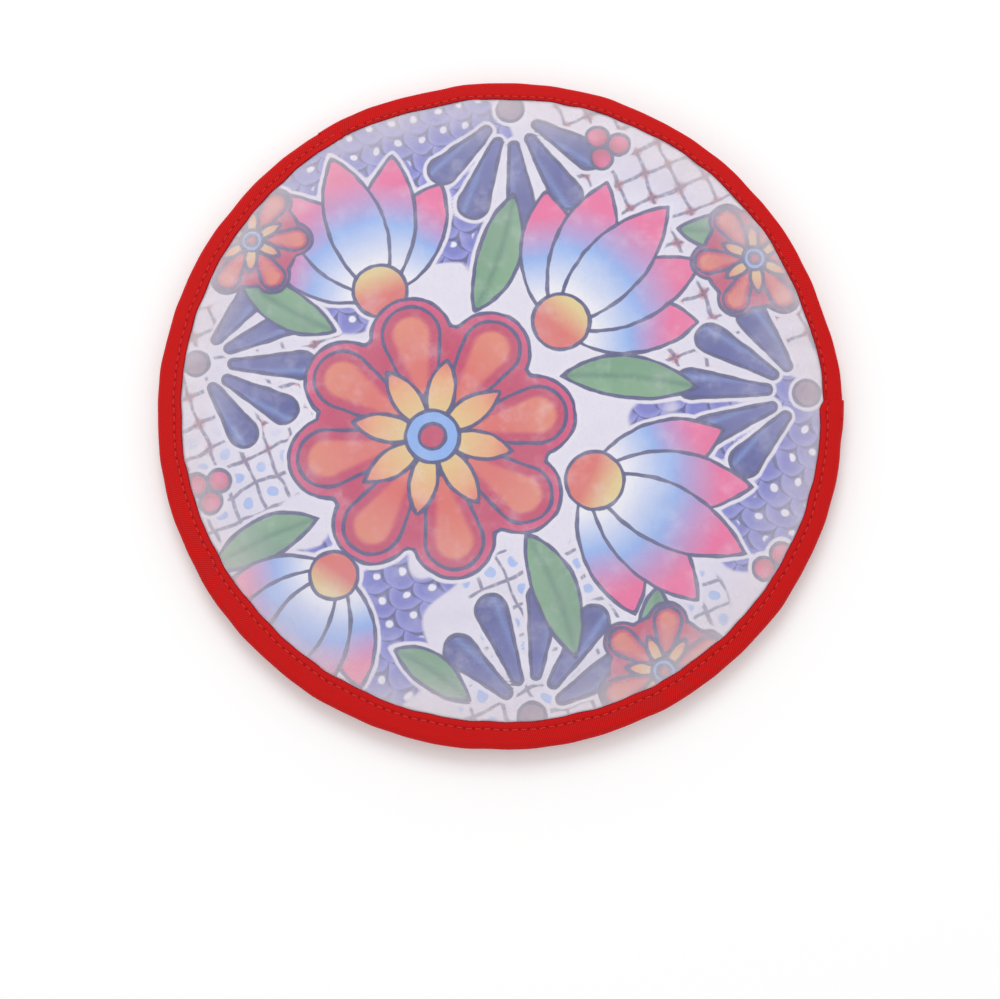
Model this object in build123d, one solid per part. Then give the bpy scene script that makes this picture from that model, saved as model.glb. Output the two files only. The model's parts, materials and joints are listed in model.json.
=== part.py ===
from build123d import *
import os
from math import atan2, cos, degrees, hypot, radians, sqrt

# A soft round tortilla warmer: two padded round panels, bound together round the
# edge with tape and left open over about a third of the way round as the mouth.
# It lies flat on its back panel. The origin is the middle of its underside, +Z is
# up, and the mouth faces +Y. The front lip folds up along a straight line that
# joins the two ends of the mouth.

# Driving sizes, in millimetres and degrees.
outside_diameter = 266.7  # over the seam binding
mouth_angle = 119.0  # how much of the way round is open
pocket_height = 9.0  # between the two linings in the middle
dome_width = 60.0  # each panel is flat, then curves down to the seam over this width
film_thickness = 0.2  # frosted film over the print
print_thickness = 0.3  # printed outer fabric
batting_thickness = 2.0
seam_batting_thickness = 0.8  # where the seam squeezes it
lining_thickness = 0.3
tape_thickness = 0.5
seam_tape_width = 10.0  # seen on each face, where the tape joins both panels
lip_tape_width = 7.6  # seen on each face, where it binds one lip alone
lip_inset = 1.5  # the lips end this far inside the seam
seam_stitch_inset = 3.0  # from the tape's inner edge to its row of stitches
lip_stitch_inset = 1.6
thread_width = 0.6
thread_height = 0.3
rim_clearance = 0.3  # between the two linings at the seam
fold_clearance = 0.3  # between the pocket and the lip that folds
inner_leg_trim = 11.0  # the lip tape's inner leg stops this short of the mouth's ends

# Sizes that follow.
seam_radius = outside_diameter / 2
seam_panel_radius = seam_radius - tape_thickness
lip_radius = seam_radius - lip_inset
lip_panel_radius = lip_radius - tape_thickness
flat_radius = seam_panel_radius - dome_width
fold_line = seam_radius * cos(radians(mouth_angle / 2))

# Heights above the lining's inner face, in the middle of a panel.
lining_top = lining_thickness
batting_top = lining_top + batting_thickness
print_top = batting_top + print_thickness
film_top = print_top + film_thickness
tape_top = film_top + tape_thickness
thread_top = tape_top + thread_height

mid_height = pocket_height / 2 + film_top
lining_level = mid_height + pocket_height / 2
tall = 4 * mid_height  # reaches well past both faces of the pouch

# How far the lining, and what lies on the batting, come down at the seam.
lining_drop = (pocket_height - rim_clearance) / 2
outer_drop = lining_drop + batting_thickness - seam_batting_thickness

# The lips sink towards their edge until the tape and stitches there lie no higher
# than the flat middle of the panel.
lip_run = lip_radius - fold_line
lip_sink = tape_thickness + thread_height
lip_slope = degrees(atan2(lip_sink, lip_run - lip_tape_width))

layers = {
    "lining": (0, lining_top),
    "batting": (lining_top, batting_top),
    "print_fabric": (batting_top, print_top),
    "cover_film": (print_top, film_top),
}


def drum(radius, bottom, top):
    """A round block about the pouch's axis."""
    return Pos(0, 0, (bottom + top) / 2) * Cylinder(radius, top - bottom)


def ring(inner_radius, outer_radius):
    """A tall tube between two radii, or a block where the inner radius is zero."""
    tube = drum(outer_radius, -tall, tall)
    if inner_radius > 0:
        tube -= drum(inner_radius, -tall, tall)
    return tube


def under_panel(height):
    """All that lies under the front panel's surface at a height above its lining's
    inner face. The surface is flat in the middle, then part of a large sphere that
    comes down to the seam. The sphere's poles are turned to the sides."""
    level = lining_level + height
    drop = outer_drop if height > lining_top else lining_drop
    rise = (seam_panel_radius**2 - flat_radius**2 + drop**2) / (2 * drop)
    dome = Rot(90, 0, 0) * Sphere(hypot(rise, flat_radius))
    return drum(2 * seam_radius, -tall, level) & Pos(0, 0, level - rise) * dome


def flipped(solid):
    """A front piece turned into the matching back piece."""
    return mirror(solid, about=Plane.XY.offset(mid_height))


def pouch(height, radius):
    """The whole pouch as one block, out to a height above each lining."""
    front = under_panel(height) & ring(0, radius)
    return front & flipped(front)


def fold_plane(offset):
    """The upright plane of the fold, moved towards the mouth by an offset."""
    return Plane(origin=(0, fold_line + offset, 0), z_dir=(0, 1, 0))


def behind_fold(solid, gap):
    """What lies on the pocket's side of the fold."""
    return split(solid, bisect_by=fold_plane(-gap), keep=Keep.BOTTOM)


def before_fold(solid, gap):
    """What lies on the mouth's side of the fold."""
    return split(solid, bisect_by=fold_plane(gap), keep=Keep.TOP)


def pocket_sheet(low, high, inner_radius, outer_radius):
    """A piece of the front panel between two heights and two radii."""
    sheet = under_panel(high) - under_panel(low)
    return sheet & ring(inner_radius, outer_radius)


def lip_sheet(low, high, inner_radius, outer_radius):
    """A piece of the front lip between two heights and two radii. It carries the
    panel's section at the fold on towards the mouth, sinking a little."""
    whole = pocket_sheet(low, high, 0, seam_radius)
    end_face = before_fold(whole, 0).faces().sort_by(Axis.Y)[0]
    towards_mouth = Vector(0, 1, 0).rotate(Axis.X, -lip_slope)
    slab = extrude(end_face, amount=2 * lip_run, dir=towards_mouth)
    return slab & ring(inner_radius, outer_radius)


def lip_binding():
    """Tape folded over the edge of the front lip. Its inner leg is trimmed back at
    the mouth's two ends, where the lips close on each other."""
    leg_radius = lip_radius - lip_tape_width
    outer_leg = lip_sheet(film_top, tape_top, leg_radius, lip_radius)
    edge = lip_sheet(0, film_top, lip_panel_radius, lip_radius)
    inner_leg = lip_sheet(-tape_thickness, 0, leg_radius, lip_radius)
    mouth_half_width = sqrt(lip_radius**2 - fold_line**2)
    reach = 2 * (mouth_half_width - inner_leg_trim)
    middle = Pos(0, fold_line + lip_run, mid_height) * Box(reach, 2 * lip_run, tall)
    return outer_leg + edge + (inner_leg & middle)


def seam_binding():
    """Tape folded round both panels, along the edge that is sewn shut."""
    wrap = pouch(tape_top, seam_radius) - pouch(film_top, seam_panel_radius)
    band = wrap & ring(seam_radius - seam_tape_width, 2 * seam_radius)
    return behind_fold(band, fold_clearance / 2)


def seam_stitches():
    """The row of sewing thread on each face of the seam binding."""
    row_radius = seam_radius - seam_tape_width + seam_stitch_inset
    inner_radius = row_radius - thread_width / 2
    outer_radius = row_radius + thread_width / 2
    row = pocket_sheet(tape_top, thread_top, inner_radius, outer_radius)
    front_row = behind_fold(row, fold_clearance / 2)
    return [front_row, flipped(front_row)]


def lip_stitches():
    """The row of sewing thread on the outer face of the front lip's binding."""
    row_radius = lip_radius - lip_tape_width + lip_stitch_inset
    inner_radius = row_radius - thread_width / 2
    outer_radius = row_radius + thread_width / 2
    return lip_sheet(tape_top, thread_top, inner_radius, outer_radius)


def front_pocket(low, high):
    """One layer of the front panel, as far as the fold."""
    return behind_fold(pocket_sheet(low, high, 0, seam_panel_radius), fold_clearance / 2)


def front_lip(low, high):
    """The same layer beyond the fold."""
    return before_fold(lip_sheet(low, high, 0, lip_panel_radius), fold_clearance / 2)


def back_panel(low, high):
    """One whole layer of the back panel, its lip included."""
    pocket = behind_fold(pocket_sheet(low, high, 0, seam_panel_radius), 0)
    lip = lip_sheet(low, high, 0, lip_panel_radius)
    return flipped(pocket + lip)


def nodes():
    """Every piece by name."""
    pieces = {}
    for name, (low, high) in layers.items():
        pieces["front_" + name] = front_pocket(low, high)
        pieces["front_lip_" + name] = front_lip(low, high)
        pieces["back_" + name] = back_panel(low, high)
    binding = lip_binding()
    pieces["seam_binding"] = seam_binding()
    pieces["front_lip_binding"] = before_fold(binding, fold_clearance / 2)
    pieces["back_lip_binding"] = flipped(binding)
    stitches = lip_stitches()
    pieces["seam_stitching"] = Compound(seam_stitches())
    pieces["front_lip_stitching"] = before_fold(stitches, fold_clearance / 2)
    pieces["back_lip_stitching"] = flipped(stitches)
    return pieces


os.makedirs("parts", exist_ok=True)
for node, shape in nodes().items():
    export_step(shape, f"parts/{node}.step")
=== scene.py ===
"""A soft round tortilla warmer: printed, padded panels under frosted film, bound in red tape.

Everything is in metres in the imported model's frame: +Z up, the mouth towards +Y.
Angles round the pouch are counted from +X, towards +Y. The print is drawn in millimetres.
"""

import json

import bmesh
import bpy
import numpy as np
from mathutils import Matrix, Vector


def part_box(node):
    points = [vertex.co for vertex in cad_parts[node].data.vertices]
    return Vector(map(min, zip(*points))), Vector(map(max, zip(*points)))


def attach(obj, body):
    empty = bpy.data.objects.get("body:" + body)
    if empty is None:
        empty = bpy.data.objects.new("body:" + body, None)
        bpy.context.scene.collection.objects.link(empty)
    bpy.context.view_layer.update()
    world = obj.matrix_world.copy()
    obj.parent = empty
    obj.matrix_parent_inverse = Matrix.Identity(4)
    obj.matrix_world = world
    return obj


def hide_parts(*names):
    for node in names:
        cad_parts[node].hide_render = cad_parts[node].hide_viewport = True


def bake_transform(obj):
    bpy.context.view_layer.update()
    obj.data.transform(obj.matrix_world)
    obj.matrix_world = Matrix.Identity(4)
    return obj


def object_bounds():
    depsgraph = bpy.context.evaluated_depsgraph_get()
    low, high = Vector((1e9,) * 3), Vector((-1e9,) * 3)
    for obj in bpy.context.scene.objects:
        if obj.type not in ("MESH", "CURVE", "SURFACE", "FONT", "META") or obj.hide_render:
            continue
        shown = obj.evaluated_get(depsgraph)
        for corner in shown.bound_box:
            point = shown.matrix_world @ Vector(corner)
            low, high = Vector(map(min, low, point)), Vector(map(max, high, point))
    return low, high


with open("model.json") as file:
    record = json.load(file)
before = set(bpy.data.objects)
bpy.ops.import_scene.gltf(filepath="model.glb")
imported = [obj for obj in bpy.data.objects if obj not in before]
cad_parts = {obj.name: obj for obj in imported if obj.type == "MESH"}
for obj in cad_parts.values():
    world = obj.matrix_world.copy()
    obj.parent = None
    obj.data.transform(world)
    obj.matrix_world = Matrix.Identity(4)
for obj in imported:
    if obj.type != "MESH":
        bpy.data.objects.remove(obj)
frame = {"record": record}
cad_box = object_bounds()

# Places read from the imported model.
fold_y = frame["record"]["behaviour"]["joints"][0]["pos_m"][1]
seam_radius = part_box("seam_binding")[1].x
seam_panel_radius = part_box("front_cover_film")[1].x
lip_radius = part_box("back_lip_binding")[1].y
lip_panel_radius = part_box("front_lip_cover_film")[1].y
film_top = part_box("front_cover_film")[1].z
print_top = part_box("front_print_fabric")[1].z
batting_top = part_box("front_batting")[1].z
lining_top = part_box("front_lining")[1].z
mid_z = (cad_box[0].z + cad_box[1].z) / 2
tape_thickness = seam_radius - seam_panel_radius

# Sizes that the boxes don't give.
mm = 0.001
lining_thickness = 0.3 * mm
flat_radius = 73 * mm  # each panel is flat this far out
rim_gap = 0.45 * mm  # from the middle height to the lining's outer face at the seam
seam_squeeze = 1.2 * mm  # how much thinner the padding is at the seam
lip_sink = 0.9 * mm  # how far the lip comes down by its edge
fold_ease = 10 * mm  # over this distance the lip's curve takes over from the pocket's
sheet_gap = 0.10 * mm  # keeps the film off the print, and the print off the padding
hem_room = 2.1 * mm  # the panels' cloth ends this far inside the tape's rounded edge

lip_tape_width = 7.4 * mm
tape_wander = 0.20 * mm  # how uneven the tape's edges are
seam_inset = 0.12 * mm  # the seam's tape stays this far inside its box, before its unevenness
cut_rise = 0.6 * mm  # how far the seam tape's cut end stands out
lip_flare = 1.45 * mm  # how far the lip's tape comes out at the mouth's two ends
flare_reach = 0.30  # over this angle
overlap_sink = 0.10 * mm  # how far the lip's tape sinks where the seam's covers it
edge_sink = 0.6 * tape_thickness  # how far the tape's edges are rounded down
edge_round = 0.22 * mm  # over about this distance
seam_stitch_inset = 3.0 * mm
lip_stitch_inset = 1.4 * mm
short_leg = 3.6 * mm  # the width of the lip tape's inner leg at the mouth's two ends
leg_taper = (0.09, 0.24)  # it widens from one to the other of these angles from the ends
tuck = np.radians(3.4)  # how far the lip's tape runs on under the seam's

# The photograph's view, and the print's own upright, which is turned with it.
view_turn = np.radians(29.75)
view_height = np.radians(76.5)


def smooth(value, low, high):
    """0 below low, 1 above high, and a smooth step between."""
    t = np.clip((value - low) / (high - low), 0, 1)
    return t * t * (3 - 2 * t)


# ------ the pouch's surfaces

mouth_middle = np.pi / 2
mouth_half = np.arccos(fold_y / seam_radius)
seam_start = mouth_middle + mouth_half
seam_end = mouth_middle - mouth_half + 2 * np.pi


def mouthness(angle):
    """1 at the mouth and 0 at the sewn seam, by the angle round the pouch."""
    from_mouth = np.abs((angle - mouth_middle + np.pi) % (2 * np.pi) - np.pi)
    return 1 - smooth(from_mouth, mouth_half - 0.03, mouth_half + 0.01)


def panel_edge(angle):
    """The radius at which a panel's cloth ends."""
    return seam_panel_radius + (lip_panel_radius - seam_panel_radius) * mouthness(angle)


def eased_y(y):
    """y up to the fold, and no further, with a soft corner."""
    return fold_y - fold_ease * np.logaddexp(0, (fold_y - y) / fold_ease)


def fall(x, y, squeezed):
    """How far a panel has come down here below its flat middle."""
    drop = lining_top - mid_z - rim_gap + (seam_squeeze if squeezed else 0)
    rise = (seam_panel_radius**2 - flat_radius**2 + drop**2) / (2 * drop)
    sphere = np.hypot(rise, flat_radius)
    held_y = eased_y(y)
    radius = np.hypot(x, held_y)
    dome = np.maximum(rise - np.sqrt(sphere**2 - radius**2), 0)
    beyond = np.maximum(y - held_y, 0) / (lip_radius - fold_y)
    return dome + lip_sink * beyond


# Heights of the relief are in millimetres. A pucker wave is how many there are round the
# pouch and where they start. A crease is its middle, direction in degrees, length, width
# and height.
pucker_waves = ((23, 0.4), (37, 1.9), (53, 4.1), (71, 2.6))
pucker_height = 0.11
lump_height = 0.16
creases = (
    (74, -66, 62, 30, 2.2, 0.50),
    (62, -76, 20, 22, 1.8, 0.35),
    (96, 52, -35, 26, 2.4, 0.40),
    (-88, 66, 140, 30, 2.6, 0.40),
    (-104, -42, 15, 24, 2.0, 0.35),
    (8, -108, 95, 20, 2.0, 0.40),
)


def relief(x, y):
    """How far the outer cloth stands off its smooth dome: lumps, creases and puckers."""
    radius = np.hypot(x, y)
    angle = np.arctan2(y, x)
    near_tape = smooth(radius, 0.094, 0.122) * (1 - smooth(radius, 0.122, 0.130))
    puckers = sum(np.cos(count * angle + start) for count, start in pucker_waves)
    lumps = np.sin(61 * x + 0.7) * np.sin(47 * y - 0.4) + 0.5 * np.sin(97 * x - 83 * y)
    in_middle = 1 - smooth(radius, 0.105, 0.128)
    height = pucker_height * puckers * near_tape + lump_height * lumps * in_middle
    for middle_x, middle_y, heading, length, width, rise in creases:
        along, across = local(1000 * x, 1000 * y, (middle_x, middle_y), heading)
        height += rise * np.exp(-((2 * along / length) ** 2) - (across / width) ** 2) * in_middle
    return height * mm


# ------ mesh helpers

def local(x, y, middle, degrees):
    """Places measured along a direction, and across it, from a middle."""
    turn = np.radians(degrees)
    dx = x - middle[0]
    dy = y - middle[1]
    return dx * np.cos(turn) + dy * np.sin(turn), dy * np.cos(turn) - dx * np.sin(turn)


def keep(piece, name, values):
    """Stores a number or a vector at each point of a piece, for its material."""
    kind, field = ("FLOAT_VECTOR", "vector") if values.ndim == 2 else ("FLOAT", "value")
    layer = piece.data.attributes.new(name, kind, "POINT")
    layer.data.foreach_set(field, values.astype(np.float32).ravel())


def new_piece(name, points, faces):
    """A smooth-shaded mesh that remembers where each of its points lies at rest."""
    mesh = bpy.data.meshes.new(name)
    mesh.from_pydata(points.tolist(), [], faces)
    mesh.shade_smooth()
    piece = bpy.data.objects.new(name, mesh)
    bpy.context.scene.collection.objects.link(piece)
    keep(piece, "rest_place", points)
    return piece


def face_outward(piece):
    """Turns all the faces of a closed mesh to face outward."""
    work = bmesh.new()
    work.from_mesh(piece.data)
    bmesh.ops.recalc_face_normals(work, faces=work.faces)
    work.to_mesh(piece.data)
    work.free()


def quads(*corners):
    """Faces with four corners, from an array of points for each corner."""
    return np.stack(corners, -1).reshape(-1, 4)


def grid_faces(index):
    """The faces between the rows and columns of a grid of points."""
    return quads(index[:-1, :-1], index[:-1, 1:], index[1:, 1:], index[1:, :-1])


def panel_places(cells):
    """A square grid bent into a round one, out to the edge of the panel's cloth."""
    line = np.linspace(-1, 1, 2 * cells + 1)
    u, v = np.meshgrid(line, line)
    x = u * np.sqrt(1 - v**2 / 2)
    y = v * np.sqrt(1 - u**2 / 2)
    edge = panel_edge(np.arctan2(y, x)) - hem_room
    return x * edge, y * edge


def closed_sheet(name, x, y, upper, lower):
    """A closed mesh between two height fields on one grid."""
    top = np.stack([x, y, upper], -1).reshape(-1, 3)
    bottom = np.stack([x, y, lower], -1).reshape(-1, 3)
    index = np.arange(x.size).reshape(x.shape)
    above = grid_faces(index)
    rim = np.concatenate([index[0, :-1], index[:-1, -1], index[-1, :0:-1], index[:0:-1, 0]])
    after = np.roll(rim, -1)
    sides = quads(rim + x.size, after + x.size, after, rim)
    faces = np.concatenate([above, above[:, ::-1] + x.size, sides])
    return new_piece(name, np.concatenate([top, bottom]), faces.tolist())


# ------ the outer cloth, settled

settle_cells = 24
settle_frames = 14
bed_depth = 2.0 * mm  # the padding's firm part lies this far under the cloth
spare_cloth = 0.004  # by this share the cloth is longer than its place
most_slack = 0.6 * mm
cloth_mass = 0.05
cloth_stiffness = 0.05
held_zone = (0.118, 0.125)  # over these radii the tape comes to hold the cloth
calm_zone = (0.112, 0.124)  # over these radii the wrinkles fade out
wrinkle_width = 3.5  # in steps of the grid, and what is wider than this is no wrinkle


def open_sheet(name, x, y, z):
    """One layer of faces on a grid."""
    points = np.stack([x, y, z], -1).reshape(-1, 3)
    index = np.arange(x.size).reshape(x.shape)
    return new_piece(name, points, grid_faces(index).tolist())


def settle():
    """Simulates cloth that is a little too long for its panel and held at the tape, as it
    sinks onto the padding. Gives the wrinkles that it then has, as heights on its grid."""
    x, y = panel_places(settle_cells)
    start = film_top - fall(x, y, True) + relief(x, y)
    scene = bpy.context.scene
    cloth = open_sheet("settling_cloth", x, y, start)
    bed = open_sheet("padding_bed", x, y, start - bed_depth)
    bed.modifiers.new("firm", "COLLISION")
    held = cloth.vertex_groups.new(name="held")
    for point, weight in enumerate(smooth(np.hypot(x, y), *held_zone).ravel()):
        held.add([point], float(weight), "REPLACE")
    settling = cloth.modifiers.new("settling", "CLOTH")
    settling.point_cache.frame_end = settle_frames
    settling.collision_settings.distance_min = 1 * mm
    settings = settling.settings
    settings.vertex_group_mass = "held"
    settings.shrink_min = -spare_cloth
    settings.mass = cloth_mass
    settings.bending_stiffness = cloth_stiffness
    for number in range(1, settle_frames + 1):
        scene.frame_set(number)
    settled = cloth.evaluated_get(bpy.context.evaluated_depsgraph_get())
    places = np.zeros(3 * x.size, np.float32)
    settled.data.vertices.foreach_get("co", places)
    moved = places[2::3].reshape(x.shape) - start
    for piece in (cloth, bed):
        bpy.data.objects.remove(piece)
    scene.frame_set(1)
    wrinkles = moved - refine(moved, settle_cells, wrinkle_width)
    in_middle = 1 - smooth(np.hypot(x, y), *calm_zone)
    return most_slack * np.tanh(wrinkles / most_slack) * in_middle


def refine(values, cells, width=0.8):
    """Values on the settled grid, smoothed over a width in its steps, and read on another."""
    coarse = np.linspace(-1, 1, len(values))
    fine = np.linspace(-1, 1, 2 * cells + 1)
    steps_away = (fine[:, None] - coarse) / (coarse[1] - coarse[0])
    weights = np.exp(-((steps_away / width) ** 2))
    weights /= weights.sum(1, keepdims=True)
    return weights @ values @ weights.T


slack = settle()


# ------ a panel's layers

def panel_layer(name, cells, levels, squeezed, back):
    """One layer of a panel: the levels of its outer and inner face in the flat middle, and
    which of them come down further at the seam and carry the wrinkles."""
    x, y = panel_places(cells)
    stand = relief(x, -y if back else y) + refine(slack[::-1] if back else slack, cells)
    if back:
        stand -= stand.max()
    outer, inner = [
        level - fall(x, y, follows) + (stand if follows else 0)
        for level, follows in zip(levels, squeezed)
    ]
    if back:
        return closed_sheet(name, x, y, 2 * mid_z - inner, 2 * mid_z - outer)
    return closed_sheet(name, x, y, outer, inner)


# ------ the tape and its stitches

def front_tape_top(x, y):
    """The outer surface of tape that lies on the front film."""
    return film_top + tape_thickness - fall(x, y, True)


def front_leg_bottom(x, y):
    """The surface of the front lip's tape that faces into the mouth."""
    return lining_top - lining_thickness - tape_thickness - fall(x, y, False)


def lip_top(x, y):
    """The front lip tape's outer surface, lower where the seam's tape covers it."""
    covered = 1 - smooth(y, fold_y - 2 * mm, fold_y + 3 * mm)
    return front_tape_top(x, y) - overlap_sink * covered


def mirrored(surface):
    """The surface on the back that answers one on the front."""
    return lambda x, y: 2 * mid_z - surface(x, y)


def wander(angles, size, start):
    """A slow, small unevenness along a sewn strip."""
    waves = ((17, 1.0), (29, 0.7), (43, 0.5), (67, 0.35))
    total = sum(share * np.sin(count * angles + start * count) for count, share in waves)
    return size * total / 1.6  # which keeps most of it within the size


def over_mouth(short_by):
    """The angles at which a strip over the mouth starts and ends, short of its two ends."""
    return mouth_middle - mouth_half + short_by, mouth_middle + mouth_half - short_by


seam_angles = np.linspace(seam_start, seam_end, 520)
lip_angles = np.linspace(*over_mouth(-tuck), 260)

# Widths of the seam's tape by the angle from its start, as the photograph shows them.
width_angles = seam_start + np.radians([0, 20, 55, 105, 150, 205, 234, 239.3, 241])
width_values = np.array([7.4, 8.4, 9.4, 10.6, 10.2, 9.0, 8.9, 9.9, 8.1]) * mm


def seam_width(angles):
    """The seam tape's width on its face, with its small unevenness."""
    return np.interp(angles, width_angles, width_values) + wander(angles, 1.1 * tape_wander, 1.3)


def seam_outer(angles):
    """The seam tape's outer radius. Its cut end stands a little proud."""
    at_cut = smooth(angles, seam_end - 0.15, seam_end - 0.01)
    return seam_radius - seam_inset + wander(angles, tape_wander, 0.6) + cut_rise * at_cut


def lip_width(angles):
    """The lip tape's width on its face."""
    return lip_tape_width + wander(angles, tape_wander, 2.1)


def lip_outer(angles):
    """The lip tape's outer radius, which comes out to the seam's at the mouth's two ends."""
    at_ends = smooth(np.abs(angles - mouth_middle), mouth_half - flare_reach, mouth_half)
    return lip_radius + wander(angles, tape_wander, 0.9) + lip_flare * at_ends


def tape_inner_edge(angles):
    """The radius of the tape's inner edge on the front, all the way round."""
    turned = (angles - mouth_middle) % (2 * np.pi) + mouth_middle
    on_seam = seam_outer(turned) - seam_width(turned)
    on_lip = lip_outer(angles) - lip_width(angles)
    return on_seam + (on_lip - on_seam) * mouthness(angles)


def seam_row(angles):
    """The radius of the front row of stitches on the seam's tape."""
    return seam_outer(angles) - seam_width(angles) + seam_stitch_inset


def seam_back_row(angles):
    """The radius of its back row."""
    return seam_outer(angles) - seam_width(seam_start + seam_end - angles) + seam_stitch_inset


def lip_row(angles):
    """The radius of the row of stitches on a lip's tape."""
    return lip_outer(angles) - lip_width(angles) + lip_stitch_inset


stitch_pitch = 3.5 * mm
stitch_length = 2.7 * mm
thread_radius = 0.28 * mm
thread_flatness = 0.85
thread_sink = 0.10 * mm  # a stitch's middle line lies this far inside the tape's surface
end_sink = 0.34 * mm  # and its two ends go this much further in
stitch_lean = 0.10 * mm
stitch_dip = 0.20 * mm  # the thread pulls the tape in by this much
dip_width = 0.65 * mm
lip_row_short = 0.012  # the lip's rows end this angle short of the mouth's two ends
leg_row_short = 0.22


def stitch_middles(first, last, radius_at):
    """The angles at which the stitches of a row have their middles."""
    mean_radius = float(np.mean(radius_at(np.linspace(first, last, 9))))
    number = int((last - first) * mean_radius / stitch_pitch)
    return np.linspace(first, last, number + 2)[1:-1]


seam_middles = stitch_middles(seam_start, seam_end, seam_row)
lip_middles = stitch_middles(*over_mouth(lip_row_short), lip_row)
leg_middles = stitch_middles(*over_mouth(leg_row_short), lip_row)


leg_points = 22
edge_points = 13


def tape_face(angles, outer, widths, above, below, stitch_inset, depth):
    """One face of a folded tape: across its upper leg, round the edge and back across its
    lower leg. The outer face, at depth 0, is rounded at its edges and dips at the stitches."""
    rim = outer * np.cos(angles), outer * np.sin(angles)
    round_edge = (above(*rim) - below(*rim)) / 2
    run = 1 - np.linspace(0, 1, leg_points)[:, None] ** 1.4
    turn = np.linspace(0, np.pi, edge_points)[1:-1, None]
    upper_in, lower_in = [round_edge + (width - round_edge) * run for width in widths]
    bend_in = depth + (round_edge - depth) * (1 - np.sin(turn))
    inset = np.concatenate([upper_in, bend_in, lower_in[::-1]])
    ones = np.ones_like(upper_in)
    side = np.concatenate([ones, np.cos(turn) * np.ones_like(round_edge), -ones])
    sunk = np.full_like(inset, depth)
    if depth == 0:
        for leg, width in zip((slice(None, leg_points), slice(-leg_points, None)), widths):
            to_edge = width - inset[leg]
            sunk[leg] += edge_sink * np.exp(-to_edge / edge_round)
            sunk[leg] += stitch_dip * np.exp(-(((to_edge - stitch_inset) / dip_width) ** 2))
    x = (outer - inset) * np.cos(angles)
    y = (outer - inset) * np.sin(angles)
    top = above(x, y)
    bottom = below(x, y)
    z = (top + bottom) / 2 + ((top - bottom) / 2 - sunk) * side
    return np.stack([x, y, z], -1)


def folded_tape(name, angles, outer, widths, above, below, stitch_inset, rows):
    """A closed strip of tape, folded over an edge. widths and rows, which are the angles of
    the stitches' middles, are of its upper and of its lower leg."""
    shape = angles, outer, widths, above, below, stitch_inset
    ring = np.concatenate([tape_face(*shape, 0), tape_face(*shape, tape_thickness)[::-1]])
    count = len(ring) // 2
    index = np.arange(ring[..., 0].size).reshape(ring.shape[:2])
    after = np.roll(index, -1, 0)
    faces = [quads(index[:, :-1], after[:, :-1], after[:, 1:], index[:, 1:])]
    for end in (0, -1):
        outside = index[:count, end]
        inside = index[:count - 1:-1, end]
        faces.append(quads(outside[:-1], outside[1:], inside[1:], inside[:-1]))
    piece = new_piece(name, ring.reshape(-1, 3), np.concatenate(faces).tolist())
    face_outward(piece)
    lengths = np.linalg.norm(np.diff(ring, axis=0), axis=-1)
    across = np.concatenate([np.zeros((1, len(angles))), np.cumsum(lengths, 0)])
    face_width = across[count - 1]
    to_edge = np.minimum(across, face_width - across)
    on_upper = np.arange(2 * count)[:, None] < count / 2
    upper, lower = [(angles - row[0]) / (row[1] - row[0]) for row in rows]
    for field, values in (
        ("across", across),
        ("along", np.broadcast_to(seam_radius * angles, across.shape)),
        ("to_edge", np.where(across <= face_width, to_edge, 0)),
        ("from_row", to_edge - stitch_inset),
        ("stitches_along", np.where(on_upper, upper, lower)),
    ):
        keep(piece, field, values.ravel())
    return piece


def stitch_rows(name, rows):
    """Lockstitches in rows. A row is its stitches' middles, its radius and surface, and its
    side, 1 above or -1 below."""
    ring_steps = np.linspace(-1, 1, 9)
    sides = np.linspace(0, 2 * np.pi, 9)[:-1]
    girth = thread_radius * np.sqrt(1 - 0.97 * ring_steps**6)[:, None]
    sink = thread_sink + end_sink * np.abs(ring_steps) ** 5
    grid = np.arange(len(ring_steps) * len(sides)).reshape(len(ring_steps), -1)
    points = []
    faces = []
    for middles, radius_at, surface, side in rows:
        for number, middle in enumerate(middles):
            index = grid + grid.size * len(points)
            turned = np.roll(index, -1, 1)
            faces += quads(index[:-1], turned[:-1], turned[1:], index[1:]).tolist()
            faces += [index[0].tolist(), index[-1, ::-1].tolist()]
            angle = middle + ring_steps * stitch_length / 2 / seam_radius
            radius = radius_at(angle) + stitch_lean * np.sin(2.4 * number) * ring_steps
            z = surface(radius * np.cos(angle), radius * np.sin(angle)) - side * sink
            angle = angle[:, None]
            reach = radius[:, None] + girth * np.cos(sides)
            height = z[:, None] + thread_flatness * girth * np.sin(sides)
            place = [reach * np.cos(angle), reach * np.sin(angle), height]
            points.append(np.stack(place, -1).reshape(-1, 3))
    piece = new_piece(name, np.concatenate(points), faces)
    face_outward(piece)
    return piece


# ------ the printed design

def paint(red, green, blue):
    """A colour from 0 to 255 as light."""
    value = np.array([red, green, blue]) / 255
    return np.where(value < 0.04045, value / 12.92, ((value + 0.055) / 1.055) ** 2.4)


ground = paint(242, 238, 246)
ink = paint(42, 54, 118)
crimson = paint(206, 12, 84)
coral = paint(232, 104, 84)
peach = paint(244, 170, 116)
green = paint(126, 178, 130)
dark_green = paint(84, 144, 106)
pink = paint(248, 92, 156)
light_blue = paint(140, 186, 246)
periwinkle = paint(98, 106, 180)
cobalt = paint(58, 74, 156)
yellow = paint(238, 214, 142)
white = paint(250, 249, 252)

# The layers of the design, from the lowest. A layer covers the ones before it.
layer_names = (
    "spray", "leaf", "tulip_wide", "tulip_near", "tulip_middle", "cup",
    "disc", "petal_low", "petal_high", "inner_petal", "eye", "dot",
)


def blend_colour(share, low, high):
    """Between two colours by a share from 0 to 1."""
    return low + (high - low) * np.clip(share, 0, 1)[..., None]


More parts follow.
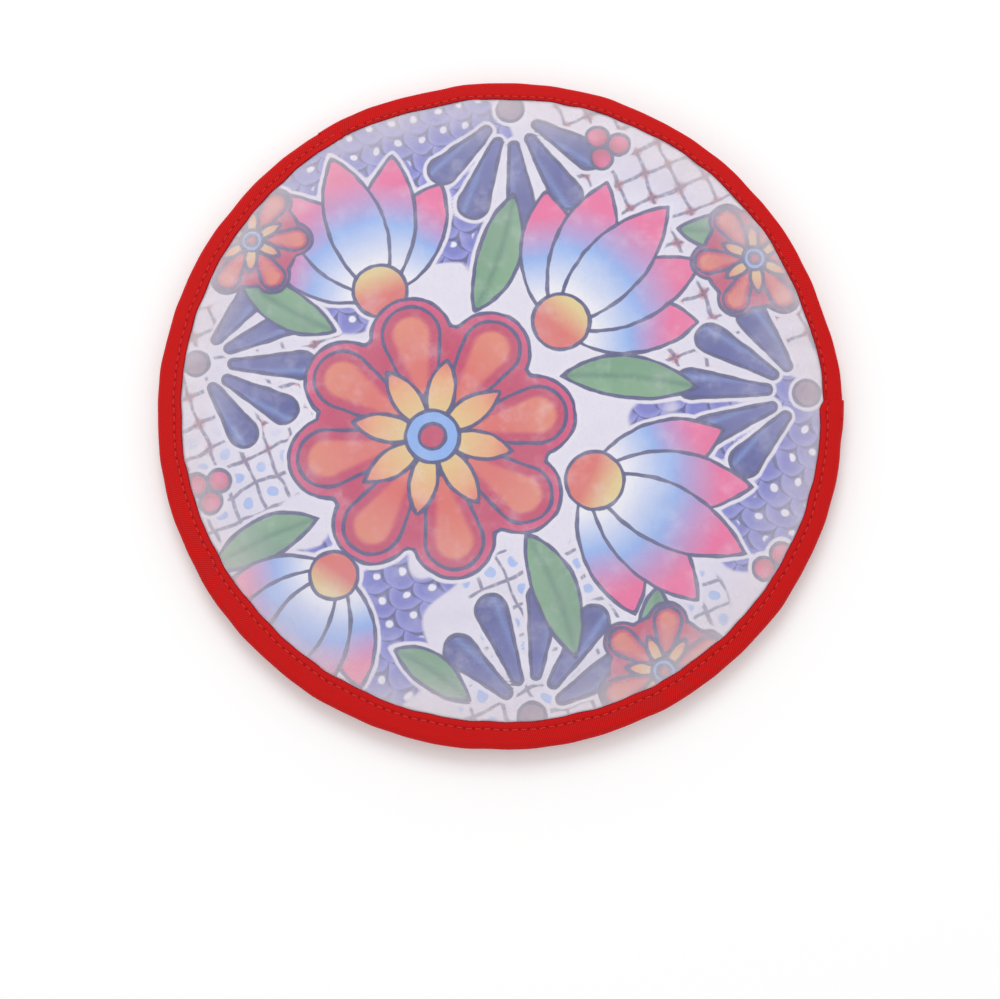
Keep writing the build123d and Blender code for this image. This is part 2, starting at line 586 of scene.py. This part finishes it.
def draw(layer, distance, colour):
    """Adds a shape to a layer. Its colour reaches as far as it is the nearest shape."""
    nearer = distance < layer["distance"]
    layer["distance"] = np.where(nearer, distance, layer["distance"])
    layer["colour"] = np.where(nearer[..., None], colour, layer["colour"])


def drop_shape(along, across, length, start, end):
    """Signed distance to a drop: two circles in line, and what lies between them."""
    across = np.abs(across)
    lean = (start - end) / length
    upright = np.sqrt(1 - lean**2)
    place = upright * along - lean * across
    before = np.hypot(across, along) - start
    past = np.hypot(across, along - length) - end
    between = across * upright + along * lean - start
    return np.where(place < 0, before, np.where(place > upright * length, past, between))


def lens_shape(along, across, length, width):
    """Signed distance to a shape with two points and two equal curved sides."""
    half = length / 2
    radius = (half**2 + (width / 2) ** 2) / width
    return np.hypot(along - half, np.abs(across) + radius - width / 2) - radius


def rosette(layers, x, y, middle, size, count, turn):
    """A round flower: a scalloped disc, two rings of petals and an eye."""
    step = 360 / count
    dx = x - middle[0]
    dy = y - middle[1]
    radius = np.hypot(dx, dy)
    angle = np.degrees(np.arctan2(dy, dx))
    nearest = np.radians((angle - turn - step / 2) % step - step / 2)
    scallop = np.hypot(radius * np.cos(nearest) - 0.72 * size, radius * np.sin(nearest)) - 0.28 * size
    disc = np.minimum(scallop, radius - 0.8 * size)
    draw(layers["disc"], disc, blend_colour((radius / size - 0.7) * 4, crimson, 0.4 * pink + 0.6 * crimson))
    for number in range(count):
        heading = turn + number * step
        along, across = local(x, y, middle, heading)
        petal = drop_shape(along - 0.3 * size, across, 0.44 * size, 0.10 * size, 0.20 * size)
        flesh = blend_colour((along / size - 0.5) * 2.5, coral, 0.5 * peach + 0.5 * coral)
        shade = blend_colour((-petal / size - 0.060) * 40, crimson, flesh)
        draw(layers["petal_high" if number % 2 else "petal_low"], petal, shade)
        half_turned, beside = local(x, y, middle, heading + step / 2)
        inner = lens_shape(half_turned - 0.07 * size, beside, 0.49 * size, 0.19 * size)
        tint = blend_colour((half_turned / size - 0.15) * 3.2, yellow, peach)
        tint = blend_colour((half_turned / size - 0.42) * 6, tint, coral)
        draw(layers["inner_petal"], inner, tint)
    draw(layers["eye"], radius - 0.185 * size, light_blue)
    draw(layers["dot"], radius - 0.09 * size, crimson)


def tulip(layers, x, y, middle, heading, size):
    """A flower of five pointed petals that open from a small cup."""
    for spread, layer, reach in (
        (-46, "tulip_wide", 0.84), (46, "tulip_wide", 0.84),
        (-23, "tulip_near", 0.95), (23, "tulip_near", 0.95), (0, "tulip_middle", 1.0),
    ):
        along, across = local(x, y, middle, heading + spread)
        petal = lens_shape(along, across, reach * size, 0.36 * size)
        share = along / (reach * size)
        colour = blend_colour((share - 0.22) * 3.4, white, light_blue)
        colour = blend_colour((share - 0.50) * 3.2, colour, pink)
        draw(layers[layer], petal, colour)
    along, across = local(x, y, middle, heading)
    cup = np.hypot(along - 0.04 * size, across) - 0.17 * size
    draw(layers["cup"], cup, blend_colour(along / (0.16 * size), coral, yellow))


def leaf(layers, x, y, base, heading, length, width, bend):
    """A pointed leaf with a dark midrib, bent to one side."""
    along, across = local(x, y, base, heading)
    across = across - bend * (along / length) ** 2
    shape = lens_shape(along, across, length, width)
    shade = blend_colour(np.exp(-((across / 1.1) ** 2)), green, dark_green)
    shade = blend_colour(0.45 * (across / width + 0.5), shade, dark_green)
    draw(layers["leaf"], shape, shade)


def spray(layers, x, y, base, heading, length, count, spread):
    """Blue drops that fan out from a small round bud."""
    for number in range(count):
        offset = spread * (number - (count - 1) / 2)
        reach = length * (1 - 0.28 * (abs(offset) / (spread * count / 2)) ** 2)
        along, across = local(x, y, base, heading + offset)
        blob = drop_shape(along - 0.3 * reach, across, 0.56 * reach, 0.035 * length, 0.115 * length)
        share = (along / reach - 0.15) * 1.5
        gloss = np.exp(-(((across + 0.05 * length) / 1.0) ** 2)) * np.clip(share, 0, 1)
        shade = blend_colour(0.45 * gloss, blend_colour(share, periwinkle, cobalt), light_blue)
        draw(layers["spray"], blob, shade)
    bud = np.hypot(x - base[0], y - base[1]) - 0.10 * length
    draw(layers["leaf"], bud, paint(150, 118, 150))


def berries(layers, x, y, middle, turn):
    """Three berries in a bunch."""
    for number, layer in enumerate(("disc", "petal_low", "petal_high")):
        along, across = local(x, y, middle, turn + 120 * number)
        berry = np.hypot(along - 5.2, across) - 4.4
        light = blend_colour(np.hypot(along - 6.2, across - 1.2) / 4.5, pink, crimson)
        draw(layers[layer], berry, light)


def sector(x, y, first, last, inner):
    """Signed distance to a part of a ring, from one angle to another in degrees."""
    radius = np.hypot(x, y)
    middle = (first + last) / 2
    away = (np.degrees(np.arctan2(y, x)) - middle + 180) % 360 - 180
    beside = np.radians(np.abs(away) - (last - first) / 2) * radius + 5 * np.sin(0.16 * radius)
    return np.maximum(beside, inner - radius + 6 * np.sin(0.11 * (x + y)) + 4 * np.cos(0.17 * (x - y)))


# The shapes of the design, as they are drawn: a function, and what it takes after x and y.
shapes = (
    (spray, (-118, 16), -2, 48, 5, 27),
    (spray, (4, 120), -84, 52, 5, 26),
    (spray, (119, 4), 176, 52, 5, 26),
    (spray, (12, -121), 84, 52, 5, 27),
    (leaf, (-10, 36), 62, 50, 17, 9),
    (leaf, (24, 10), 4, 52, 17, -8),
    (leaf, (10, -52), -58, 50, 17, -9),
    (leaf, (-70, -46), 196, 44, 16, 7),
    (leaf, (-64, 28), 158, 46, 16, -8),
    (leaf, (70, 70), -8, 34, 14, 6),
    (leaf, (60, -72), -96, 36, 14, 6),
    (leaf, (-96, 52), 66, 34, 14, -6),
    (leaf, (-40, -96), -24, 34, 13, -6),
    (tulip, (-46, 42), 110, 62),
    (tulip, (34, -30), -26, 66),
    (tulip, (22, 30), 48, 66),
    (tulip, (-62, -66), 236, 54),
    (berries, (-104, 92), 20),
    (berries, (106, -64), 70),
    (berries, (-112, -34), 40),
    (berries, (42, 104), 10),
    (rosette, (-26, -14), 56, 8, 12),
    (rosette, (100, 58), 25, 6, 5),
    (rosette, (62, -104), 26, 6, 25),
    (rosette, (-98, 66), 24, 6, 0),
)


def design(x, y):
    """The printed design: its layers by name, and where its two background patterns lie."""
    far = 99.0
    layers = {}
    for name in layer_names:
        layers[name] = {"distance": np.full(x.shape, far), "colour": np.zeros((*x.shape, 3))}
    for add_shape, *measures in shapes:
        add_shape(layers, x, y, *measures)
    lattices = [sector(x, y, 8, 82, 56), sector(x, y, 160, 208, 66), sector(x, y, 262, 318, 60)]
    scales = [sector(x, y, 90, 152, 60), sector(x, y, 216, 254, 66), sector(x, y, 326, 364, 60)]
    return layers, np.minimum.reduce(lattices), np.minimum.reduce(scales)


def print_design(piece, back):
    """Stores the design on a printed panel. The back has it turned and mirrored."""
    place = np.zeros(len(piece.data.vertices) * 3, np.float32)
    piece.data.vertices.foreach_get("co", place)
    place = 1000 * place.reshape(-1, 3)
    turn = np.degrees(view_turn) + (155 if back else 0)
    x, y = local(-place[:, 0] if back else place[:, 0], place[:, 1], (0, 0), turn)
    layers, lattice, scales = design(x, y)
    for name, layer in layers.items():
        keep(piece, f"{name}_distance", layer["distance"])
        keep(piece, f"{name}_colour", layer["colour"])
    nearest = np.minimum.reduce([layer["distance"] for layer in layers.values()])
    keep(piece, "any_distance", nearest)
    radius = np.hypot(place[:, 0], place[:, 1])
    angle = np.arctan2(place[:, 1], place[:, 0])
    keep(piece, "to_tape", 1000 * tape_inner_edge(angle) - radius)
    keep(piece, "lattice", lattice)
    keep(piece, "scales", scales)
    keep(piece, "art_place", np.stack([x, y, 0 * x], -1))


# ------ materials

class Nodes:
    """Writes the nodes of a material or a world in few lines."""

    def __init__(self, name, kind="materials"):
        self.owner = getattr(bpy.data, kind).new(name)
        self.owner.use_nodes = True
        self.tree = self.owner.node_tree
        self.tree.nodes.clear()

    def put(self, socket, value):
        """Links a node's output to a socket, or sets the socket's own value."""
        if isinstance(value, bpy.types.NodeSocket):
            self.tree.links.new(value, socket)
        elif socket.type == "RGBA":
            socket.default_value = (*[float(part) for part in value], 1.0)
        elif socket.type == "VECTOR":
            socket.default_value = tuple(float(part) for part in value)
        else:
            socket.default_value = value

    def add(self, kind, inputs=(), **settings):
        """A new node with its settings and inputs."""
        node = self.tree.nodes.new("ShaderNode" + kind)
        for key, value in settings.items():
            setattr(node, key, value)
        for key, value in dict(inputs).items():
            self.put(node.inputs[key], value)
        return node

    def math(self, operation, first, second=0.0, third=0.0):
        """The result of a Math node."""
        node = self.add("Math", {0: first, 1: second, 2: third}, operation=operation)
        return node.outputs[0]

    def times(self, first, second, plus=None):
        """A product, plus a third number where there is one."""
        if plus is None:
            return self.math("MULTIPLY", first, second)
        return self.math("MULTIPLY_ADD", first, second, plus)

    def wave(self, value, pitch):
        """A wave between -1 and 1 that repeats at every pitch."""
        return self.math("SINE", self.times(value, 2 * np.pi / pitch))

    def step(self, value, low, high):
        """0 at low, 1 at high, with a smooth step between."""
        inputs = {"Value": value, "From Min": low, "From Max": high}
        return self.add("MapRange", inputs, interpolation_type="SMOOTHSTEP").outputs[0]

    def span(self, value, low, high):
        """A number from 0 to 1 spread from low to high."""
        return self.add("MapRange", {"Value": value, "To Min": low, "To Max": high}).outputs[0]

    def mix(self, share, first, second):
        """The first colour, and by its share the second."""
        node = self.add("Mix", data_type="RGBA")
        self.put(node.inputs[0], share)
        self.put(node.inputs[6], first)
        self.put(node.inputs[7], second)
        return node.outputs[2]

    def field(self, name, output="Fac"):
        """What keep() stored on the piece by this name."""
        return self.add("Attribute", attribute_name=name).outputs[output]

    def noise(self, vector, scale, detail=2.0, roughness=0.5):
        """Smooth noise from 0 to 1."""
        inputs = {"Vector": vector, "Scale": scale, "Detail": detail, "Roughness": roughness}
        return self.add("TexNoise", inputs).outputs[0]

    def bump(self, height, distance, strength):
        """A normal tilted by a height."""
        inputs = {"Height": height, "Distance": distance, "Strength": strength}
        return self.add("Bump", inputs).outputs[0]

    def finish(self, inputs):
        """The material, with these inputs to its shader."""
        self.add("OutputMaterial", {"Surface": self.add("BsdfPrincipled", inputs).outputs[0]})
        return self.owner


def weave_height(n, place, pitch):
    """A plain weave: threads over and under, in squares of the pitch in metres."""
    parts = n.add("SeparateXYZ", {0: place}).outputs
    return n.times(n.wave(parts[0], pitch), n.wave(parts[1], pitch))


def lattice_pattern(n, parts):
    """Shares of the crossed strokes, of the blots where they meet and of the dots between."""
    pitch = 10.5
    lean = np.radians(24)
    nears = []
    for first, second in ((np.cos(lean), np.sin(lean)), (-np.sin(lean), np.cos(lean))):
        place = n.times(parts[0], first)
        place = n.times(parts[1], second, place)
        nears.append(n.math("PINGPONG", place, pitch / 2))
    strokes = []
    for across, along in (nears, nears[::-1]):
        thick = n.step(across, 0.90, 0.45)
        strokes.append(n.times(thick, n.span(n.step(along, 5.2, 4.2), 0.7, 1.0)))
    drawn = n.math("MAXIMUM", strokes[0], strokes[1])
    corner = n.times(nears[1], nears[1], n.times(nears[0], nears[0]))
    blots = n.step(corner, 6.5, 2.0)
    away = n.math("SUBTRACT", pitch / 2, nears[0])
    beside = n.math("SUBTRACT", pitch / 2, nears[1])
    centre = n.times(away, away, n.times(beside, beside))
    return drawn, blots, n.step(centre, 5.6, 3.6)


def scale_row(n, parts, row, rise, pitch):
    """Distance from the nearest scale's middle in a row, in pitches."""
    place = n.times(row, 0.5, n.math("DIVIDE", parts[0], pitch))
    beside = n.math("SUBTRACT", n.math("FRACT", place), 0.5)
    beside = n.times(beside, beside)
    return n.math("SQRT", n.times(rise, rise, beside))


def scale_pattern(n, parts):
    """Overlapping round scales: the share of outline, and how far from a scale's middle."""
    pitch = 13.0
    size = 0.53  # a scale's radius, in pitches
    level = n.math("DIVIDE", parts[1], pitch / 2)
    row = n.math("FLOOR", level)
    part = n.math("SUBTRACT", level, row)
    above = n.times(n.math("SUBTRACT", 1.0, part), 0.5)
    below = n.times(part, 0.5)
    parity = n.math("PINGPONG", row, 1.0)
    upper = scale_row(n, parts, n.math("SUBTRACT", 1.0, parity), above, pitch)
    lower = scale_row(n, parts, parity, below, pitch)
    covered = n.math("LESS_THAN", upper, size)
    nearest = n.times(upper, covered)
    nearest = n.times(lower, n.math("SUBTRACT", 1.0, covered), nearest)
    edge = n.math("ABSOLUTE", n.math("SUBTRACT", upper, size))
    return n.step(edge, 0.060, 0.030), nearest


def print_material():
    """Printed cloth: the design in watery inks on a pale ground, over a fine weave."""
    n = Nodes("printed_fabric")
    art = n.field("art_place", "Vector")
    sway = n.add("TexNoise", {"Vector": art, "Scale": 0.055, "Detail": 2.0}).outputs["Color"]
    swayed = n.add("VectorMath", {0: sway, 1: (7, 7, 0), 2: art}, operation="MULTIPLY_ADD").outputs[0]
    turned = n.add("VectorRotate", {"Vector": swayed, "Angle": 0.5}).outputs[0]
    hand = n.math("SUBTRACT", n.noise(art, 0.11), 0.5)
    wash = n.noise(art, 0.085, 4.0, 0.62)
    grain = n.noise(art, 0.8, 3.0, 0.6)
    colour = n.mix(n.span(wash, 0.0, 0.6), ground, paint(230, 224, 240))

    # The lattice, with coral blots on one side and blue dots on the other.
    parts = n.add("SeparateXYZ", {0: swayed}).outputs
    drawn, blots, dots = lattice_pattern(n, parts)
    in_lattice = n.step(n.field("lattice"), 1.0, -1.0)
    warm_side = n.step(parts[1], -30.0, 0.0)
    warm = n.times(n.times(blots, warm_side), in_lattice)
    cool = n.times(n.math("SUBTRACT", 1.0, warm_side), dots)
    colour = n.mix(n.times(n.times(cool, in_lattice), 0.75), colour, light_blue)
    colour = n.mix(n.times(warm, 0.65), colour, coral)
    strokes = n.times(n.times(drawn, in_lattice), n.span(grain, 0.4, 1.0))
    colour = n.mix(strokes, colour, ink)

    # The overlapping scales, each with a white pearl.
    parts = n.add("SeparateXYZ", {0: turned}).outputs
    outline, nearest = scale_pattern(n, parts)
    in_scales = n.step(n.field("scales"), 1.0, -1.0)
    body = n.mix(n.step(nearest, 0.26, 0.50), paint(112, 118, 206), paint(146, 150, 226))
    pearl = n.times(n.step(nearest, 0.135, 0.085), n.step(n.field("any_distance"), 3.2, 4.4))
    body = n.mix(pearl, body, white)
    body = n.mix(n.times(outline, 0.85), body, ink)
    colour = n.mix(in_scales, colour, body)

    # The shapes, with a pale edge round them all: each layer's colour, then its ink line.
    halo = n.times(hand, 1.6, n.field("any_distance"))
    colour = n.mix(n.step(halo, 2.5, 1.7), colour, ground)
    thickness = n.times(n.noise(art, 0.16), 0.9, 0.42)
    soft = n.math("SUBTRACT", thickness, 0.30)
    for name in layer_names:
        distance = n.times(hand, 1.1, n.field(f"{name}_distance"))
        colour = n.mix(n.step(distance, 0.2, -0.2), colour, n.field(f"{name}_colour", "Color"))
        line = n.step(n.math("ABSOLUTE", distance), thickness, soft)
        colour = n.mix(n.times(line, 0.96), colour, ink)

    # Faded washes, the ink's grain, the tape's shadow and the weave.
    colour = n.mix(n.step(wash, 0.46, 0.80), colour, n.mix(0.26, colour, white))
    colour = n.mix(n.times(n.step(grain, 0.50, 0.75), 0.10), colour, ink)
    shadow = n.step(n.field("to_tape"), 0.9, 0.1)
    colour = n.mix(n.times(shadow, 0.75), colour, paint(96, 20, 92))
    place = n.field("rest_place", "Vector")
    weave = weave_height(n, place, 0.5 * mm)
    colour = n.mix(n.times(n.math("MAXIMUM", weave, 0.0), 0.05), colour, ink)
    return n.finish({
        "Base Color": colour,
        "Roughness": n.span(grain, 0.62, 0.82),
        "Specular IOR Level": 0.25,
        "Normal": n.bump(weave, 0.04 * mm, 0.5),
    })


def film_material():
    """Frosted film: a thin pale veil, thicker towards the seam, with a soft gloss and a painted pink
    reflection of the tape near it.
    """
    n = Nodes("frosted_film")
    place = n.field("rest_place", "Vector")
    cloud = n.noise(place, 45.0, 3.0, 0.55)
    skin = n.noise(place, 2600.0, 2.0, 0.6)
    ripple = n.noise(place, 160.0)
    veil = n.field("veil")
    # Near the tape the film is paler and pinker: a painted reflection of the red tape.
    tape_reflection_share = n.step(veil, 0.14, 0.33)
    veil = n.times(veil, n.span(cloud, 0.45, 1.55))
    colour = n.mix(cloud, paint(226, 222, 240), paint(234, 230, 246))
    return n.finish({
        "Base Color": n.mix(tape_reflection_share, colour, paint(246, 238, 243)),
        "Roughness": n.span(cloud, 0.36, 0.52),
        "IOR": 1.48,
        "Alpha": veil,
        "Normal": n.bump(n.times(ripple, 4.0, skin), 0.05 * mm, 0.5),
    })


def tape_material():
    """Ribbed red tape: fine slanted ribs, with painted shade in their grooves, along the stitches, in the
    needle holes and at its edges.
    """
    n = Nodes("red_tape")
    along = n.field("along")
    across = n.field("across")
    place = n.field("rest_place", "Vector")
    slant = n.times(across, 0.55, along)
    slant = n.times(n.noise(place, 420.0), 0.25 * mm, slant)
    ribs = n.times(n.wave(slant, 0.85 * mm), 0.5, 0.5)
    fuzz = n.noise(place, 5200.0, 3.0, 0.65)
    patch = n.noise(place, 60.0, 3.0, 0.6)
    # Painted shade and light on the ribs: darker in their grooves, lighter on their crests.
    colour = n.mix(ribs, paint(166, 2, 4), paint(226, 14, 14))
    colour = n.mix(n.span(patch, 0.0, 0.4), colour, paint(206, 10, 12))
    from_row = n.math("ABSOLUTE", n.field("from_row"))
    # Painted shade along the row of stitches, where the thread pulls the tape in.
    stitch_groove_shade = n.step(from_row, 0.8 * mm, 0.2 * mm)
    colour = n.mix(n.times(stitch_groove_shade, 0.35), colour, paint(150, 2, 6))
    # Painted shade in the needle holes at both ends of each stitch.
    between = n.math("PINGPONG", n.field("stitches_along"), 0.5)
    from_hole = n.times(n.math("SUBTRACT", 0.5, between), stitch_pitch)
    from_hole = n.times(from_hole, from_hole, n.times(from_row, from_row))
    ragged = n.times(n.noise(place, 900.0), 0.7 * mm, n.math("SQRT", from_hole))
    needle_hole_shade = n.step(ragged, 1.15 * mm, 0.50 * mm)
    colour = n.mix(n.times(needle_hole_shade, 0.62), colour, paint(120, 0, 6))
    colour = n.mix(n.times(n.step(fuzz, 0.35, 0.75), 0.14), colour, paint(236, 44, 38))
    # Painted shade along both edges of the tape's face, where it rounds down.
    edge = n.step(n.field("to_edge"), 0.7 * mm, 0.2 * mm)
    colour = n.mix(n.times(edge, 0.8), colour, paint(120, 4, 36))
    return n.finish({
        "Base Color": colour,
        "Roughness": n.span(fuzz, 0.50, 0.74),
        "Specular IOR Level": 0.16,
        "Normal": n.bump(n.times(fuzz, 0.35, ribs), 0.12 * mm, 0.8),
    })


def thread_material():
    """Red sewing thread, twisted and a little glossier than the tape."""
    n = Nodes("red_thread")
    place = n.field("rest_place", "Vector")
    parts = n.add("SeparateXYZ", {0: place}).outputs
    twist = n.math("ADD", parts[0], parts[1])
    twist = n.times(parts[2], 1.6, twist)
    share = n.times(n.wave(twist, 0.45 * mm), 0.5, 0.5)
    fuzz = n.noise(place, 7000.0, 2.0, 0.6)
    # Painted shade and light on the twist: darker in its grooves, lighter on its plies.
    colour = n.mix(share, paint(190, 10, 12), paint(232, 34, 30))
    return n.finish({
        "Base Color": n.mix(n.times(fuzz, 0.3), colour, paint(244, 84, 66)),
        "Roughness": n.span(fuzz, 0.36, 0.56),
        "Specular IOR Level": 0.3,
        "Normal": n.bump(share, 0.06 * mm, 0.7),
    })


def lining_material():
    """Off-white plain-woven cotton."""
    n = Nodes("cotton_lining")
    place = n.field("rest_place", "Vector")
    weave = weave_height(n, place, 0.7 * mm)
    slub = n.noise(place, 240.0, 4.0, 0.6)
    colour = n.mix(slub, paint(216, 211, 202), paint(236, 232, 224))
    shade = n.times(n.math("MAXIMUM", weave, 0.0), 0.25)
    return n.finish({
        "Base Color": n.mix(shade, colour, paint(176, 170, 160)),
        "Roughness": n.span(slub, 0.78, 0.92),
        "Sheen Weight": 0.1,
        "Normal": n.bump(n.math("ADD", weave, slub), 0.08 * mm, 0.6),
    })


def batting_material():
    """White fibre padding."""
    n = Nodes("fibre_padding")
    place = n.field("rest_place", "Vector")
    tufts = n.noise(place, 130.0, 5.0, 0.7)
    fibres = n.noise(place, 2200.0, 4.0, 0.8)
    return n.finish({
        "Base Color": n.mix(tufts, paint(224, 224, 218), paint(243, 243, 240)),
        "Roughness": n.span(fibres, 0.86, 0.98),
        "Sheen Weight": 0.2,
        "Normal": n.bump(n.times(tufts, 3.0, fibres), 0.3 * mm, 0.7),
    })


materials = {
    "print": print_material(),
    "film": film_material(),
    "tape": tape_material(),
    "thread": thread_material(),
    "lining": lining_material(),
    "batting": batting_material(),
}


def dress(piece, slot, nodes, crosses_fold):
    """Gives a piece its material, hides the CAD nodes it stands for, and puts it on the pouch's body, or
    bakes its place if it crosses the fold.
    """
    piece.data.materials.append(materials[slot])
    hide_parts(*nodes)
    if crosses_fold:
        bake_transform(piece)
    else:
        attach(piece, "pouch")


# ------ the two panels

# Each layer: its name, finish and grid, and its outer and inner face as panel_layer has them.
layer_rows = (
    ("print_fabric", "print", 108, (print_top, batting_top), (True, True)),
    ("cover_film", "film", 84, (film_top, print_top + sheet_gap), (True, True)),
    ("batting", "batting", 56, (batting_top - sheet_gap, lining_top + sheet_gap), (True, False)),
    ("lining", "lining", 56, (lining_top, lining_top - lining_thickness), (False, False)),
)


def film_veil(x, y):
    """The share of the print that the film hides: more towards the tape."""
    radius = np.hypot(x, y)
    return 0.09 + 0.04 * smooth(radius, 0.04, 0.10) + 0.20 * smooth(radius, 0.098, 0.127)


for panel, back in (("front", False), ("back", True)):
    for layer, slot, cells, levels, squeezed in layer_rows:
        name = f"{panel}_{layer}"
        piece = panel_layer(f"{name}_cloth", cells, levels, squeezed, back)
        if layer == "print_fabric":
            print_design(piece, back)
        if layer == "cover_film":
            keep(piece, "veil", np.tile(film_veil(*panel_places(cells)).ravel(), 2))
        nodes = [name] if back else [name, f"front_lip_{layer}"]
        dress(piece, slot, nodes, crosses_fold=not back)


# ------ the tapes

def inner_leg(angles):
    """The width of a lip tape's inner leg, which narrows towards the mouth's two ends."""
    to_end = mouth_half - np.abs(angles - mouth_middle)
    return short_leg + (lip_tape_width - short_leg) * smooth(to_end, *leg_taper)


widths = (seam_width(seam_angles), seam_width(seam_angles[::-1]))
tape = folded_tape(
    "seam_tape", seam_angles, seam_outer(seam_angles), widths, front_tape_top,
    mirrored(front_tape_top), seam_stitch_inset, (seam_middles, seam_middles),
)
dress(tape, "tape", ["seam_binding"], crosses_fold=False)

widths = (lip_width(lip_angles), inner_leg(lip_angles))
tape = folded_tape(
    "front_lip_tape", lip_angles, lip_outer(lip_angles), widths, lip_top,
    front_leg_bottom, lip_stitch_inset, (lip_middles, leg_middles),
)
dress(tape, "tape", ["front_lip_binding"], crosses_fold=True)

widths = (inner_leg(lip_angles), lip_width(lip_angles))
tape = folded_tape(
    "back_lip_tape", lip_angles, lip_outer(lip_angles), widths, mirrored(front_leg_bottom),
    mirrored(lip_top), lip_stitch_inset, (leg_middles, lip_middles),
)
dress(tape, "tape", ["back_lip_binding"], crosses_fold=False)


# ------ the stitches

thread_rows = {
    "seam": [
        (seam_middles, seam_row, front_tape_top, 1),
        (seam_middles, seam_back_row, mirrored(front_tape_top), -1),
    ],
    "front_lip": [
        (lip_middles, lip_row, lip_top, 1),
        (leg_middles, lip_row, front_leg_bottom, -1),
    ],
    "back_lip": [
        (lip_middles, lip_row, mirrored(lip_top), -1),
        (leg_middles, lip_row, mirrored(front_leg_bottom), 1),
    ],
}
for place, rows in thread_rows.items():
    thread = stitch_rows(f"{place}_thread", rows)
    dress(thread, "thread", [f"{place}_stitching"], crosses_fold=place == "front_lip")


# ------ floor, light and camera

def see_through_rays(n):
    """1 for the rays that look at the background: from the camera, a gloss or a glass."""
    path = n.add("LightPath").outputs
    seen = n.math("MAXIMUM", path["Is Camera Ray"], path["Is Glossy Ray"])
    return n.math("MAXIMUM", seen, path["Is Transmission Ray"])


def floor_material():
    """A white floor that keeps the shadow and is seen as white."""
    n = Nodes("pale_floor")
    return n.finish({
        "Base Color": paint(250, 250, 250),
        "Roughness": 0.9,
        "Specular IOR Level": 0.1,
        "Emission Color": (1, 1, 1),
        "Emission Strength": n.times(see_through_rays(n), 0.10),
    })


def make_floor():
    """A wide floor just under the pouch."""
    half = 3.0
    z = -0.1 * mm
    corners = np.array([[-half, -half, z], [half, -half, z], [half, half, z], [-half, half, z]])
    floor = new_piece("floor", corners, [[0, 1, 2, 3]])
    floor.data.materials.append(floor_material())


def make_world():
    """Even light from all round, a little stronger where it is seen as the background."""
    n = Nodes("studio", "worlds")
    strength = n.span(see_through_rays(n), 0.95, 1.0)
    n.add("OutputWorld", {"Surface": n.add("Background", {"Strength": strength}).outputs[0]})
    bpy.context.scene.world = n.owner


def aimed(name, data, place, direction):
    """A lamp or a camera at a place, aimed along a direction."""
    thing = bpy.data.objects.new(name, data)
    bpy.context.scene.collection.objects.link(thing)
    thing.location = place
    thing.rotation_mode = "QUATERNION"
    thing.rotation_quaternion = direction.to_track_quat("-Z", "Y")
    return thing


def make_key_light():
    """One broad, soft lamp above the pouch, on the mouth's side."""
    data = bpy.data.lights.new("key", "AREA")
    data.shape = "DISK"
    data.size = 1.1
    data.energy = 10.5
    place = Vector((-0.7, 0.9, 1.5))
    aimed("key", data, place, -place)


def make_camera():
    """The photograph's view of the pouch."""
    distance = 0.919
    data = bpy.data.cameras.new("camera")
    data.lens = 85
    data.shift_y = -0.094
    flat = np.cos(view_height)
    back = Vector((np.sin(view_turn) * flat, -np.cos(view_turn) * flat, np.sin(view_height)))
    middle = Vector((0, 0, mid_z))
    bpy.context.scene.camera = aimed("camera", data, middle + back * distance, -back)


make_floor()
make_world()
make_key_light()
make_camera()
bpy.context.scene.view_settings.view_transform = "Standard"
